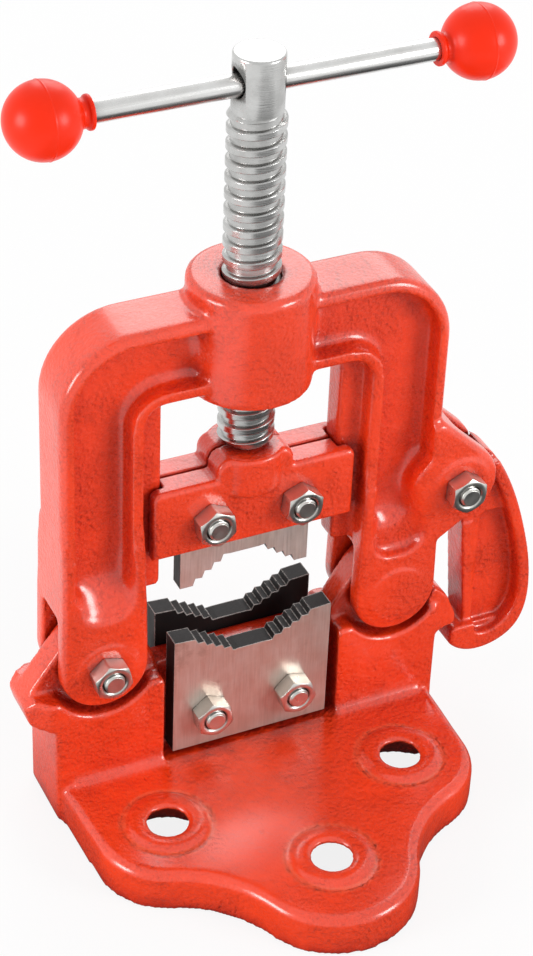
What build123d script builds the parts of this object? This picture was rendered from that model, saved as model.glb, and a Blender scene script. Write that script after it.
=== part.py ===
"""Pipe vise with a hinged yoke, a hand screw and two sets of toothed jaw plates.

Frame in millimetres: +Z up, the foot stands on Z = 0, X runs along the jaws,
Y = 0 is the middle plane of the yoke and the viewer stands at -Y. The screw
axis is the Z axis. Each piece is written to parts/NAME.step where it sits in
the closed vise, with the latch hanging just clear of its nose.
"""
import os
from math import acos, atan2, cos, degrees, hypot, radians, sin

from build123d import *

# Fits
running_gap = 0.35
seat_gap = 0.15
hole_gap = 0.25
pivot_gap = 0.08

# Reach of a cutting shape past the casting that it cuts
beyond = 150.0

# Foot of the base
foot_height = 16.0
foot_edge_radius = 4.0
foot_inset = 1.4
side_lobe_x = 46.7
side_lobe_y = -45.3
side_lobe_radius = 27.0
front_lobe_y = -83.7
front_lobe_radius = 31.5
lobe_blend_radius = 45.0
mount_hole_radius = 7.2
mount_pad_radius = 14.0
mount_pad_height = 1.6
mount_hole_chamfer = 1.2
foot_wall = 7.0
foot_pocket_depth = 8.0
foot_pocket_back = -32.0

# Upright of the base
upright_half_width = 76.5
upright_half_depth = 14.0
upright_edge_radius = 1.1
crease_radius = 5.0
crease_reach = 70.0
shoulder_top = 54.8
stop_step_x = 73.0
stop_shoulder_x = 83.0
stop_shoulder_z = 56.0
stop_foot_x = 84.6
stop_foot_z = 44.6
stop_root_z = 42.2
stop_tip_x = 86.8
stop_tip_z = 52.5
stop_tip_half = 8.0
stop_taper_x = 78.0
scoop_radius = 20.2
plate_bay_half_width = 35.0
lug_half_thickness = 5.5
lug_radius = 15.6
lug_shoulder_z = 59.0
lug_root_z = 45.0
latch_nose_half = 12.0
latch_nose_reach = 85.0
latch_nose_floor = 41.4
latch_nose_top = 61.5
latch_nose_clearance = 17.6

# Yoke
pivot_x = 57.5
pivot_z = 66.2
leg_half_width = 15.1
ear_radius = 16.4
fork_half_depth = 14.4
fork_slot_half = 7.0
fork_slot_radius = 27.5
fork_top = 124.0
fork_slope = 18.0
yoke_half_depth = 12.0
yoke_top = 202.5
yoke_edge_radius = 3.0
window_edge_radius = 1.8
yoke_underside = 172.4
yoke_corner_radius = 28.0
window_corner_radius = 8.0
rim_width = 4.6
web_half = 4.0
recess_foot = 97.0
recess_fillet = 3.6
recess_corner = 4.0
bowl_floor = 9.2
bowl_foot_left = 89.5
bowl_foot_right = 84.5
bowl_corner = 7.5
bowl_step = 1.0
bowl_fillet = 2.4
rail_inner_x = 33.6
rail_half_thickness = 5.0
rail_foot = 92.0
boss_radius = 22.2
boss_bottom = yoke_underside - 3.9
boss_top = yoke_top + 8.1
pad_radius = 11.6
pad_height = 1.0

# Latch
latch_pivot_x = 80.5
latch_pivot_z = 109.5
latch_ear_radius = 15.5
latch_hub_radius = 13.0
latch_slot_half = 6.0
latch_hub_half = 5.6
latch_rim_half = 9.8
latch_rim_round = 1.2
latch_rib_half = 6.3
latch_panel_half = 3.0
latch_rib_outer = 95.8
latch_lip_top = 36.8
latch_lip_tip = 85.4
latch_lip_low = 29.5
latch_lip_round = 2.6
latch_panel_centre = 60.5
latch_panel_height = 53.0
latch_panel_corner = 2.5

# Upper jaw block
block_half_width = 38.7
block_bottom = 106.0
block_top = 134.5
block_half_depth = 10.4
block_parting = 0.6
block_boss_half_width = 14.5
block_boss_top = 142.2
block_edge_radius = 2.0
block_bulge_radius = 14.2
block_bulge_bottom = 125.0
block_bulge_round = 4.0
upper_bolt_z = 118.6

# Screw and handle
thread_radius = 10.0
thread_start = block_boss_top + 1.4
thread_end = 271.0
head_radius = 8.75
head_top = 291.4
neck_radius = 4.75
neck_bottom = 126.0
collar_radius = 8.0
collar_bottom = 119.6
cross_hole_radius = 5.2
cross_hole_z = 281.8
rod_radius = 3.85
rod_shift = 3.2
ball_spacing = 152.0
ball_radius = 12.8
ball_neck_radius = 5.0
ball_lip_radius = 5.8
ball_lip_reach = 15.7

# Toothed plates
lower_plate_width = 62.0
lower_plate_bottom = 17.9
lower_plate_top = 69.2
lower_plate_thickness = 7.5
plate_bolt_x = 16.7
lower_bolt_z = 33.2
web_half_thickness = 5.5
upper_plate_width = 50.0
upper_plate_land = 85.0
upper_plate_top = 127.0
upper_plate_thickness = 6.0

# Hex fasteners
bolt_radius = 4.0
bolt_hole_radius = bolt_radius + hole_gap
pivot_hole_radius = bolt_radius + pivot_gap
hex_across_flats = 13.0
nut_height = 6.5
head_height = 5.3
bolt_stand_out = 0.9

left_pivot = (-pivot_x, pivot_z)
right_pivot = (pivot_x, pivot_z)
latch_pivot = (latch_pivot_x, latch_pivot_z)


def upright_slab(face, half_depth):
    """Extrude a face drawn in X and Z to both sides of the middle plane."""
    return extrude(Plane.XZ * face, half_depth, both=True)


def slab_between(face, near, far):
    """Extrude a face drawn in X and Z between two values of Y."""
    low, high = sorted((near, far))
    return extrude(Plane.XZ.offset(-low) * face, high - low, dir=(0, 1, 0))


def disc(centre, radius):
    """Circle face with its centre given in X and Z."""
    return Pos(*centre) * Circle(radius)


def rod_along_y(centre, radius, near, far):
    """Round bar along Y with its axis at an X and Z point."""
    return slab_between(disc(centre, radius), near, far)


def bore_along_y(centre, radius):
    """Cutting bar along Y that reaches past both faces of any casting."""
    return rod_along_y(centre, radius, -beyond, beyond)


def upright_rod(radius, bottom, top):
    """Round bar on the Z axis."""
    return Pos(0, 0, bottom) * extrude(Circle(radius), top - bottom)


def mirrored(shape):
    """The shape with its mirror image across the YZ plane."""
    return shape + mirror(shape, about=Plane.YZ)


def polar(centre, radius, angle):
    """Point on a circle at an angle in degrees."""
    return (centre[0] + radius * cos(radians(angle)), centre[1] + radius * sin(radians(angle)))


def blend_points(centre_a, radius_a, centre_b, radius_b, blend):
    """Start, middle and end of the concave arc that joins two circles."""
    span = hypot(centre_b[0] - centre_a[0], centre_b[1] - centre_a[1])
    side_a = radius_a + blend
    side_b = radius_b + blend
    turn = acos((side_a**2 + span**2 - side_b**2) / (2 * side_a * span))
    heading = atan2(centre_b[1] - centre_a[1], centre_b[0] - centre_a[0]) - turn
    blend_centre = polar(centre_a, side_a, degrees(heading))
    towards = [
        atan2(centre[1] - blend_centre[1], centre[0] - blend_centre[0])
        for centre in (centre_a, centre_b)
    ]
    middle = sum(towards) / 2
    angles = (towards[0], middle, towards[1])
    return [polar(blend_centre, blend, degrees(angle)) for angle in angles]


def foot_outline():
    """Three round lobes blended into the width of the upright."""
    side_centre = (-side_lobe_x, side_lobe_y)
    front_centre = (0, front_lobe_y)
    start, middle, end = blend_points(
        side_centre, side_lobe_radius, front_centre, front_lobe_radius, lobe_blend_radius
    )
    flank = [
        (0, upright_half_depth - foot_inset),
        (foot_inset - upright_half_width, upright_half_depth - foot_inset),
        (foot_inset - upright_half_width, -upright_half_depth),
        (side_centre[0] - side_lobe_radius, side_centre[1]),
    ]
    edges = Polyline(*flank)
    edges += ThreePointArc(flank[-1], polar(side_centre, side_lobe_radius, 215), start)
    edges += ThreePointArc(start, middle, end)
    edges += ThreePointArc(
        end, polar(front_centre, front_lobe_radius, 250), (0, front_lobe_y - front_lobe_radius)
    )
    edges += mirror(edges, about=Plane.YZ)
    return make_face(edges)


def mount_holes():
    """Centres of the three bolt down holes in X and Y."""
    return [(-side_lobe_x, side_lobe_y), (side_lobe_x, side_lobe_y), (0, front_lobe_y)]


def foot_plate():
    """Foot with three bolt holes in raised rings and a pocket underneath."""
    outline = foot_outline()
    foot = extrude(outline, foot_height)
    foot = fillet(foot.edges().group_by(Axis.Z)[-1], foot_edge_radius)
    under_upright = extrude(
        Rectangle(2 * upright_half_width, 2 * upright_half_depth), foot_height
    )
    foot += fillet(under_upright.edges().filter_by(Axis.Z), upright_edge_radius)

    pads = Part()
    holes = Part()
    for x, y in mount_holes():
        pad = Pos(x, y, 0) * extrude(Circle(mount_pad_radius), foot_height + mount_pad_height)
        pads += fillet(pad.edges().group_by(Axis.Z)[-1], 1.4)
        holes += Pos(x, y, 0) * extrude(Circle(mount_hole_radius), beyond, both=True)
    foot += pads - holes
    foot -= holes

    pocket_face = offset(outline, -foot_wall)
    pocket_face -= Pos(0, foot_pocket_back + beyond / 2) * Rectangle(2 * beyond, beyond)
    for x, y in mount_holes():
        pocket_face -= Pos(x, y) * Circle(mount_pad_radius)
    foot -= extrude(pocket_face, foot_pocket_depth)

    rims = [
        edge for edge in foot.edges().filter_by(GeomType.CIRCLE)
        if abs(edge.radius - mount_hole_radius) < 0.01 and edge.center().Z > foot_height
    ]
    return chamfer(rims, mount_hole_chamfer)


def crease_cove():
    """Rounded filling of the crease between the foot and the upright's front."""
    centre = (-upright_half_depth - crease_radius, foot_height + crease_radius)
    corner = Pos(centre[0] + crease_radius / 2, centre[1] - crease_radius / 2)
    profile = corner * Rectangle(crease_radius, crease_radius)
    profile -= Pos(*centre) * Circle(crease_radius)
    start = plate_bay_half_width
    cove = Pos(start, 0, 0) * extrude(Plane.YZ * profile, crease_reach - start)
    return mirrored(cove)


def stop_plan():
    """Plan of the upright seen from above, with a tapered end at the yoke's stop."""
    taper = (upright_half_depth - stop_tip_half) / (stop_tip_x - stop_taper_x)
    wide = 2 * upright_half_depth
    back_x = stop_taper_x - (wide - upright_half_depth) / taper
    tip_x = stop_tip_x + 0.5
    tip_half = stop_tip_half - 0.5 * taper
    return extrude(
        Polygon(
            (beyond, -wide),
            (beyond, wide),
            (-back_x, wide),
            (-tip_x, tip_half),
            (-tip_x, -tip_half),
            (-back_x, -wide),
            align=None,
        ),
        beyond,
    )


def lug_face(pivot):
    """Rib around one pivot, from the plate bay out to the stop or the latch nose."""
    side = 1 if pivot[0] > 0 else -1
    root = [
        (side * plate_bay_half_width, lug_root_z),
        (side * plate_bay_half_width, lug_shoulder_z),
    ]
    if side > 0:
        root.append((upright_half_width, lug_root_z))
    else:
        root += [(-stop_tip_x, stop_tip_z), (-stop_foot_x, stop_foot_z)]
    return make_hull(disc(pivot, lug_radius).edges() + Polygon(*root, align=None).edges())


def latch_nose_face():
    """Blunt nose on the right end that the lip of the latch hooks under."""
    nose = Polygon(
        (upright_half_width - 3, shoulder_top - 10),
        (upright_half_width, latch_nose_floor - 2),
        (latch_nose_reach - 3, latch_nose_floor),
        (latch_nose_reach - 1, latch_nose_floor + 0.4),
        (latch_nose_reach, latch_nose_floor + 1.6),
        (latch_nose_reach, latch_nose_floor + 6),
        (latch_nose_reach - 3.8, latch_nose_top - 5.4),
        (latch_nose_reach - 8.8, latch_nose_top),
        (upright_half_width - 4, latch_nose_top),
        align=None,
    )
    return nose - disc(right_pivot, latch_nose_clearance)


def upright_casting():
    """Upright with scooped shoulders and the two lugs in the middle plane."""
    body_face = Polygon(
        (-upright_half_width, foot_height),
        (upright_half_width, foot_height),
        (upright_half_width, shoulder_top),
        (-stop_step_x, shoulder_top),
        (-stop_shoulder_x, stop_shoulder_z),
        (-stop_tip_x, stop_tip_z),
        (-stop_foot_x, stop_foot_z),
        (-upright_half_width, stop_root_z),
        align=None,
    )
    body_face -= disc(left_pivot, scoop_radius) + disc(right_pivot, scoop_radius)
    body = upright_slab(body_face, upright_half_depth) & stop_plan()
    face_edges = body.faces().filter_by(Axis.Y).edges()
    body = fillet(face_edges.filter_by_position(Axis.Z, foot_height + 1, beyond), upright_edge_radius)
    bay = Pos(0, 0, foot_height) * Box(
        2 * plate_bay_half_width, beyond, beyond, align=(Align.CENTER, Align.CENTER, Align.MIN)
    )
    bay -= Box(beyond, 2 * web_half_thickness, 3 * beyond)
    body -= bay

    lugs = upright_slab(lug_face(left_pivot) + lug_face(right_pivot), lug_half_thickness)
    upright = body + lugs + upright_slab(latch_nose_face(), latch_nose_half) + crease_cove()
    bores = bore_along_y(left_pivot, pivot_hole_radius)
    for side in (-1, 1):
        bores += bore_along_y((side * plate_bolt_x, lower_bolt_z), bolt_hole_radius)
    return upright - bores


def yoke_window():
    """Opening between the legs, open at the bottom."""
    half = pivot_x - leg_half_width
    window = Pos(0, 60) * Rectangle(2 * half, 2 * (yoke_underside - 60))
    top_corners = window.vertices().group_by(Axis.Y)[-1]
    return fillet(top_corners, window_corner_radius)


def yoke_frame_face():
    """Outer shape of the yoke in X and Z without its leg ends."""
    half = pivot_x + leg_half_width
    frame = Pos(0, (pivot_z + yoke_top) / 2) * Rectangle(2 * half, yoke_top - pivot_z)
    top_corners = frame.vertices().group_by(Axis.Y)[-1]
    return fillet(top_corners, yoke_corner_radius)


def latch_bracket_face():
    """Flat bulge of the right leg that carries the latch pivot."""
    anchor = Pos(68.2, 112) * Rectangle(8.8, 53)
    return make_hull(disc(latch_pivot, latch_ear_radius).edges() + anchor.edges())


def leg_end_face(pivot):
    """Round end of one leg with flanks that run up to the full width."""
    top = Pos(pivot[0], fork_top - 5) * Rectangle(2 * leg_half_width, 10)
    return make_hull(disc(pivot, ear_radius).edges() + top.edges())


def fork_envelope():
    """Side view of the thick leg ends, which slope back into the legs above."""
    sunk = yoke_half_depth - 0.1
    right = [(fork_half_depth, 0), (fork_half_depth, fork_top - fork_slope), (sunk, fork_top)]
    left = [(-y, z) for y, z in reversed(right)]
    return extrude(Plane.YZ * Polygon(*right, *left, align=None), 150, both=True)


def recess_face():
    """Space between the rims of one face of the yoke."""
    recess = offset(yoke_frame_face(), -rim_width) - offset(yoke_window(), rim_width)
    recess -= Pos(0, recess_foot - beyond / 2) * Rectangle(2 * beyond, beyond)
    recess -= disc((latch_pivot_x - 1, latch_pivot_z), latch_ear_radius + 2.6)
    ear_top = latch_pivot_z + 2 * latch_ear_radius
    corners = recess.vertices().filter_by_position(Axis.Y, recess_foot - 1, ear_top)
    return fillet(corners, recess_corner)


def bowl_face(side, foot):
    """Shallow round foot of the recess in the left leg for side = -1 or the right one."""
    top = recess_foot + recess_corner + 1
    width = 2 * (leg_half_width - rim_width) - bowl_step
    bowl = Pos(side * (pivot_x - bowl_step / 2), (foot + top) / 2) * Rectangle(width, top - foot)
    bowl = fillet(bowl.vertices().group_by(Axis.Y)[0], bowl_corner)
    return bowl - disc((latch_pivot_x - 1, latch_pivot_z), latch_ear_radius + 2.6)


def pocket(face, side, floor, floor_fillet):
    """Blind hollow in the front face for side = -1, in the rear face for side = 1."""
    hollow = slab_between(face, side * floor, side * beyond)
    bottom = hollow.faces().sort_by(Axis.Y)[0 if side > 0 else -1]
    return fillet(bottom.edges(), floor_fillet)


def yoke_casting():
    """Frame with a recess in each face, forked legs, guide rails and the screw boss."""
    window = yoke_window()
    frame_face = yoke_frame_face() - window
    yoke = upright_slab(frame_face, yoke_half_depth)
    face_edges = yoke.faces().filter_by(Axis.Y).edges()
    face_edges = face_edges.filter_by_position(Axis.Z, pivot_z + 1, 300)
    window_half = pivot_x - leg_half_width + 0.1
    inner_edges = face_edges.filter_by_position(Axis.X, -window_half, window_half)
    inner_edges = inner_edges.filter_by_position(Axis.Z, 0, yoke_underside + 0.1)
    yoke = fillet(face_edges - inner_edges, yoke_edge_radius)
    inner_edges = [
        edge for edge in yoke.edges()
        if abs(abs(edge.center().Y) - yoke_half_depth) < 0.1
        and abs(edge.center().X) < window_half
        and edge.center().Z < yoke_underside + 0.1
    ]
    yoke = fillet(inner_edges, window_edge_radius)

    ends = leg_end_face(left_pivot) + leg_end_face(right_pivot)
    forks = upright_slab(ends, fork_half_depth) & fork_envelope()
    rounded = forks.faces().filter_by(Axis.Y).edges().filter_by_position(Axis.Z, 0, 90)
    forks = fillet(rounded, 2.2)
    bracket = upright_slab(latch_bracket_face(), fork_half_depth)
    bracket = fillet(bracket.faces().filter_by(Axis.Y).edges(), 2.2)
    yoke += forks + bracket

    for side in (-1, 1):
        yoke -= pocket(bowl_face(-1, bowl_foot_left), side, bowl_floor, bowl_fillet)
        yoke -= pocket(bowl_face(1, bowl_foot_right), side, bowl_floor, bowl_fillet)
        yoke -= pocket(recess_face(), side, web_half, recess_fillet)

    rail_height = yoke_underside + 2 - rail_foot
    rail_width = pivot_x - leg_half_width - rail_inner_x + 2
    rail = Pos(rail_inner_x, 0, rail_foot) * Box(
        rail_width, 2 * rail_half_thickness, rail_height, align=(Align.MIN, Align.CENTER, Align.MIN)
    )
    rail = fillet(rail.edges().filter_by(Axis.Z).group_by(Axis.X)[0], 1.2)
    boss = upright_rod(boss_radius, boss_bottom, boss_top)
    boss = chamfer(boss.edges().group_by(Axis.Z)[-1], 1.8)
    boss = fillet(boss.edges().group_by(Axis.Z)[0], 1.2)
    yoke += mirrored(rail) + boss
    for pivot in (left_pivot, right_pivot, latch_pivot):
        for side in (-1, 1):
            face = side * (fork_half_depth - 1)
            pad = rod_along_y(pivot, pad_radius, face, side * (fork_half_depth + pad_height))
            rim = pad.faces().sort_by(Axis.Y)[-1 if side > 0 else 0].edges()
            yoke += fillet(rim, 0.7)

    slot = disc(left_pivot, fork_slot_radius) + disc(right_pivot, fork_slot_radius)
    slot &= Pos(0, 60) * Rectangle(300, 75)
    yoke -= upright_slab(slot, fork_slot_half)
    latch_slot = disc(latch_pivot, latch_hub_radius + 0.8)
    latch_slot += Pos(latch_pivot_x + 10, latch_pivot_z) * Rectangle(20, 80)
    latch_slot += Pos(latch_pivot_x, latch_pivot_z - 20) * Rectangle(2 * latch_hub_radius + 1.6, 40)
    yoke -= upright_slab(latch_slot, latch_slot_half)

    bores = upright_rod(thread_radius + running_gap, boss_bottom - 5, boss_top + 5)
    bores += bore_along_y(left_pivot, pivot_hole_radius)
    bores += bore_along_y(latch_pivot, pivot_hole_radius)
    return yoke - bores


def latch_outer_edges():
    """Outer curve of the latch from the hub down to the tip of its lip."""
    return Spline(
        (95.0, 119.0),
        (104.5, 102.6),
        (113.6, 76.8),
        (118.2, 52.0),
        (112.8, 29.0),
        (98.0, 23.4),
        (latch_lip_tip, latch_lip_low),
    )


def latch_inner_curve():
    """Inner curve of the latch rim, beside the outer one."""
    return Spline(
        (91.0, 116.7),
        (100.3, 100.4),
        (109.2, 75.5),
        (113.4, 53.0),
        (109.6, 35.5),
        (102.0, 31.0),
        (latch_rib_outer, 32.5),
    )


def latch_casting():
    """Hook with a wide outer rim, a closed panel and a straight inner rib."""
    outer = latch_outer_edges()
    tip = (latch_lip_tip, latch_lip_low)
    lip_corner = (latch_lip_tip, latch_lip_top)
    rib_foot = (92.2, latch_lip_top)
    rib_head = (88.0, 84.0)
    hub_side = (88.0, 100.0)
    inner = Polyline(tip, lip_corner, rib_foot, rib_head, hub_side, (95.0, 119.0))
    shape = make_face(outer + inner)
    lip_end = shape.vertices().group_by(Axis.X)[0]
    shape = fillet(lip_end, latch_lip_round)
    inside = make_face(latch_inner_curve() + Polyline(
        (latch_rib_outer, 32.5), (latch_rib_outer, 80.0), (80.0, 100.0), (91.0, 116.7)
    ))
    panel = inside & Pos(latch_rib_outer + 15, latch_panel_centre) * Rectangle(
        30, latch_panel_height
    )
    panel = fillet(panel.vertices(), latch_panel_corner)
    latch = upright_slab(shape + disc(latch_pivot, latch_hub_radius), latch_hub_half)
    for side in (-1, 1):
        latch -= slab_between(panel, side * latch_panel_half, side * 30)

    band = shape - inside - disc(latch_pivot, latch_ear_radius + 0.7)
    band -= Pos(latch_rib_outer - 15, latch_lip_top + 60) * Rectangle(30, 120)
    band -= Pos(latch_pivot_x, 125) * Rectangle(80, 26)
    rim = upright_slab(band, latch_rim_half)
    long_edges = rim.faces().filter_by(Axis.Y).edges().filter_by(GeomType.BSPLINE)
    latch += fillet(long_edges, latch_rim_round)

    rib_face = Polygon(
        rib_foot, rib_head, (92.4, 84.0), (96.0, latch_lip_top), align=None
    )
    latch += upright_slab(rib_face, latch_rib_half)
    return latch - bore_along_y(latch_pivot, pivot_hole_radius)


def hex_bar(centre, near, far):
    """Six sided bar along Y with rounded looking corners cut by a cone."""
    radius = hex_across_flats / 2 / cos(radians(30))
    bar = slab_between(Pos(*centre) * RegularPolygon(radius, 6), near, far)
    round_bar = rod_along_y(centre, radius, near, far)
    round_bar = chamfer(round_bar.edges().filter_by(GeomType.CIRCLE), 0.9)
    return bar & round_bar


def hex_nut(centre, face):
    """Nut whose inner face sits at Y = face and that points to the viewer."""
    nut = hex_bar(centre, face - nut_height, face)
    return nut - rod_along_y(centre, bolt_radius + 0.05, face - 20, face + 20)


def hex_bolt(centre, nut_face, head_face):
    """Bolt with its head behind and its end just proud of the nut."""
    end = nut_face - nut_height - bolt_stand_out
    shank = rod_along_y(centre, bolt_radius, end, head_face)
    shank = chamfer(shank.edges().group_by(Axis.Y)[0], 0.7)
    return shank + hex_bar(centre, head_face, head_face + head_height)


def stair_points(inner, outer, steps):
    """Points of a toothed flank: a nearly flat tread, then a steep riser."""
    run = (outer[0] - inner[0]) / steps
    rise = (outer[1] - inner[1]) / steps
    points = []
    for step in range(steps):
        x = inner[0] + step * run
        z = inner[1] + step * rise
        points.append((x, z))
        points.append((x + 0.72 * run, z - 0.12 * rise))
    points.append(outer)
    return points


def lower_plate(near, far):
    """Plate with a toothed vee in its top edge and two bolt holes."""
    half = lower_plate_width / 2
    flank = stair_points((5.3, lower_plate_top - 9.8), (22.8, lower_plate_top - 0.6), 5)
    right = [*flank, (half, lower_plate_top), (half, lower_plate_bottom)]
    left = [(-x, z) for x, z in reversed(right)]
    plate = slab_between(Polygon(*left, *right, align=None), near, far)
    for side in (-1, 1):
        plate -= bore_along_y((side * plate_bolt_x, lower_bolt_z), bolt_hole_radius)
    return plate


def upper_plate():
    """Plate with a toothed vee in its bottom edge and a notch for the screw collar."""
    half = upper_plate_width / 2
    flank = stair_points((5.7, upper_plate_land + 10.7), (20.0, upper_plate_land), 4)
    notch_half = collar_radius + 1.2
    notch_floor = collar_bottom - 1.4
    right = [
        *flank,
        (half, upper_plate_land),
        (half, upper_plate_top),
        (notch_half, upper_plate_top),
        (notch_half, notch_floor),
    ]
    left = [(-x, z) for x, z in reversed(right)]
    half_thickness = upper_plate_thickness / 2
    plate = upright_slab(Polygon(*left, *right, align=None), half_thickness)
    for side in (-1, 1):
        plate -= bore_along_y((side * plate_bolt_x, upper_bolt_z), bolt_hole_radius)
    return plate


def upper_block_half(side):
    """Front half for side = -1, rear half for side = 1."""
    body = Pos(0, (block_bottom + block_top) / 2) * Rectangle(
        2 * block_half_width, block_top - block_bottom
    )
    body = fillet(body.vertices().group_by(Axis.Y)[-1], 3.0)
    boss = Pos(0, (block_bottom + block_boss_top) / 2) * Rectangle(
        2 * block_boss_half_width, block_boss_top - block_bottom
    )
    boss = fillet(boss.vertices().group_by(Axis.Y)[-1], 5.0)
    half = slab_between(body + boss, side * block_parting, side * block_half_depth)
    outer = half.faces().sort_by(Axis.Y)[-1 if side > 0 else 0]
    half = fillet(outer.edges(), block_edge_radius)
    bulge = upright_rod(block_bulge_radius, block_bulge_bottom, block_boss_top)
    bulge = fillet(bulge.edges().group_by(Axis.Z)[0], block_bulge_round)
    bulge = fillet(bulge.edges().group_by(Axis.Z)[-1], 1.0)
    half += bulge & slab_between(body + boss, side * block_parting, side * 40)

    rebate_x = rail_inner_x - running_gap
    rebate = Pos(rebate_x, 0, 90) * Box(
        20, 2 * (rail_half_thickness + 0.9), 120, align=(Align.MIN, Align.CENTER, Align.CENTER)
    )
    pocket = Pos(0, 0, block_bottom - 5) * Box(
        upper_plate_width + 0.6,
        upper_plate_thickness,
        upper_plate_top + seat_gap - block_bottom + 5,
        align=(Align.CENTER, Align.CENTER, Align.MIN),
    )
    cavity = upright_rod(collar_radius + 0.5, collar_bottom - seat_gap, neck_bottom + seat_gap)
    cavity += upright_rod(neck_radius + running_gap, neck_bottom - 1, block_boss_top + 5)
    half -= mirrored(rebate) + pocket + cavity
    for end in (-1, 1):
        half -= bore_along_y((end * plate_bolt_x, upper_bolt_z), bolt_hole_radius)
    return half


def screw():
    """Hand screw with a trapped collar, a neck, a plain head and a cross hole."""
    body = upright_rod(thread_radius, thread_start, thread_end)
    body = chamfer(body.edges().group_by(Axis.Z)[0], 1.6)
    body = chamfer(body.edges().group_by(Axis.Z)[-1], 1.0)
    head = upright_rod(head_radius, thread_end - 1, head_top)
    head = chamfer(head.edges().group_by(Axis.Z)[-1], 0.9)
    neck = upright_rod(neck_radius, neck_bottom - 1, thread_start + 2)
    collar = upright_rod(collar_radius, collar_bottom, neck_bottom)
    cross_hole = Pos(0, 0, cross_hole_z) * Rot(0, 90, 0) * Cylinder(cross_hole_radius, 60)
    return body + head + neck + collar - cross_hole


def rod_height():
    """Height of the rod axis: the rod lies on the bottom of the cross hole."""
    return cross_hole_z - (cross_hole_radius - rod_radius) + seat_gap


def handle_bar():
    """Plain rod that ends inside both balls."""
    bar = Cylinder(rod_radius, ball_spacing)
    bar = chamfer(bar.edges().filter_by(GeomType.CIRCLE), 0.6)
    return Pos(rod_shift, 0, rod_height()) * Rot(0, 90, 0) * bar


def handle_ball(side):
    """Ball with a short neck and a lip on the side of the screw."""
    ball = Sphere(ball_radius)
    neck = Cylinder(ball_neck_radius, ball_lip_reach, align=(Align.CENTER, Align.CENTER, Align.MIN))
    lip = Pos(0, 0, ball_lip_reach - 1.6) * Cylinder(
        ball_lip_radius, 1.6, align=(Align.CENTER, Align.CENTER, Align.MIN)
    )
    lip = fillet(lip.edges(), 0.5)
    bore = Pos(0, 0, -0.4) * Cylinder(
        rod_radius + 0.03, 40, align=(Align.CENTER, Align.CENTER, Align.MIN)
    )
    x = rod_shift + side * ball_spacing / 2
    return Pos(x, 0, rod_height()) * Rot(0, -side * 90, 0) * (ball + neck + lip - bore)


def main():
    """Build every piece and write it to the parts folder."""
    os.makedirs("parts", exist_ok=True)
    web = web_half_thickness
    plate_face = web + lower_plate_thickness
    fork_face = fork_half_depth + pad_height
    block_face = block_half_depth
    pieces = {
        "base_foot": foot_plate(),
        "base_upright": upright_casting(),
        "yoke": yoke_casting(),
        "screw": screw(),
        "handle_bar": handle_bar(),
        "handle_ball_left": handle_ball(-1),
        "handle_ball_right": handle_ball(1),
        "upper_block_front": upper_block_half(-1),
        "upper_block_rear": upper_block_half(1),
        "upper_jaw_plate": upper_plate(),
        "lower_jaw_plate_front": lower_plate(-plate_face, -web),
        "lower_jaw_plate_rear": lower_plate(web, plate_face),
        "latch": latch_casting(),
        "hinge_bolt": hex_bolt(left_pivot, -fork_face, fork_face),
        "hinge_nut": hex_nut(left_pivot, -fork_face),
        "latch_bolt": hex_bolt(latch_pivot, -fork_face, fork_face),
        "latch_nut": hex_nut(latch_pivot, -fork_face),
    }
    for name, side in (("left", -1), ("right", 1)):
        lower = (side * plate_bolt_x, lower_bolt_z)
        upper = (side * plate_bolt_x, upper_bolt_z)
        pieces[f"lower_jaw_bolt_{name}"] = hex_bolt(lower, -plate_face, plate_face)
        pieces[f"lower_jaw_nut_{name}"] = hex_nut(lower, -plate_face)
        pieces[f"upper_jaw_bolt_{name}"] = hex_bolt(upper, -block_face, block_face)
        pieces[f"upper_jaw_nut_{name}"] = hex_nut(upper, -block_face)
    for name, piece in pieces.items():
        export_step(piece, f"parts/{name}.step")


if __name__ == "__main__":
    main()
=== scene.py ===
"""Looks of a yoke pipe vise: enamelled castings, a cut screw, plated fasteners and gloss knobs.

Lengths in the classes are millimetres in the frame of the vise: +Z runs up the
screw, X runs along the jaws and the viewer stands at -Y. Meshes are metres.
"""

import logging
import math
from dataclasses import dataclass, field
from enum import Enum

import bmesh
import bpy
import numpy as np
from mathutils import Matrix, Vector


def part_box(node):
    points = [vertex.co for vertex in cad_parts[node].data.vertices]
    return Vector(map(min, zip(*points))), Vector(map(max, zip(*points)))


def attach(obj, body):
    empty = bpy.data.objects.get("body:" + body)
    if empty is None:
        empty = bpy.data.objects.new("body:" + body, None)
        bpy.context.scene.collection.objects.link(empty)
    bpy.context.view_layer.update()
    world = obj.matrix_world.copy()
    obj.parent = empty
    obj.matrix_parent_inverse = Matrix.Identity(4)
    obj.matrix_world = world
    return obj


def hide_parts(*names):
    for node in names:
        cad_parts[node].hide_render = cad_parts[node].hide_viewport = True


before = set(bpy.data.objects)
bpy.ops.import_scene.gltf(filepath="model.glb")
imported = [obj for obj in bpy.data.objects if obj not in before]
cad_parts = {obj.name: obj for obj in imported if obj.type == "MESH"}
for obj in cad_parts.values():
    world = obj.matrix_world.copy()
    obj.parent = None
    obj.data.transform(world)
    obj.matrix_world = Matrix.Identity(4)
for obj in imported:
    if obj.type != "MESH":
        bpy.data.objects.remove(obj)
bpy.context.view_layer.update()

LOG = logging.getLogger("pipe_vise")
MM = 0.001
FULL_TURN = 2.0 * math.pi
WELD = 2e-6
TINY = 1e-6
WHITE = (1.0, 1.0, 1.0)

Colour = tuple[float, float, float]
Point = tuple[float, float, float]
Pair = tuple[float, float]
Socket = bpy.types.NodeSocket
Piece = bpy.types.Object


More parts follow.
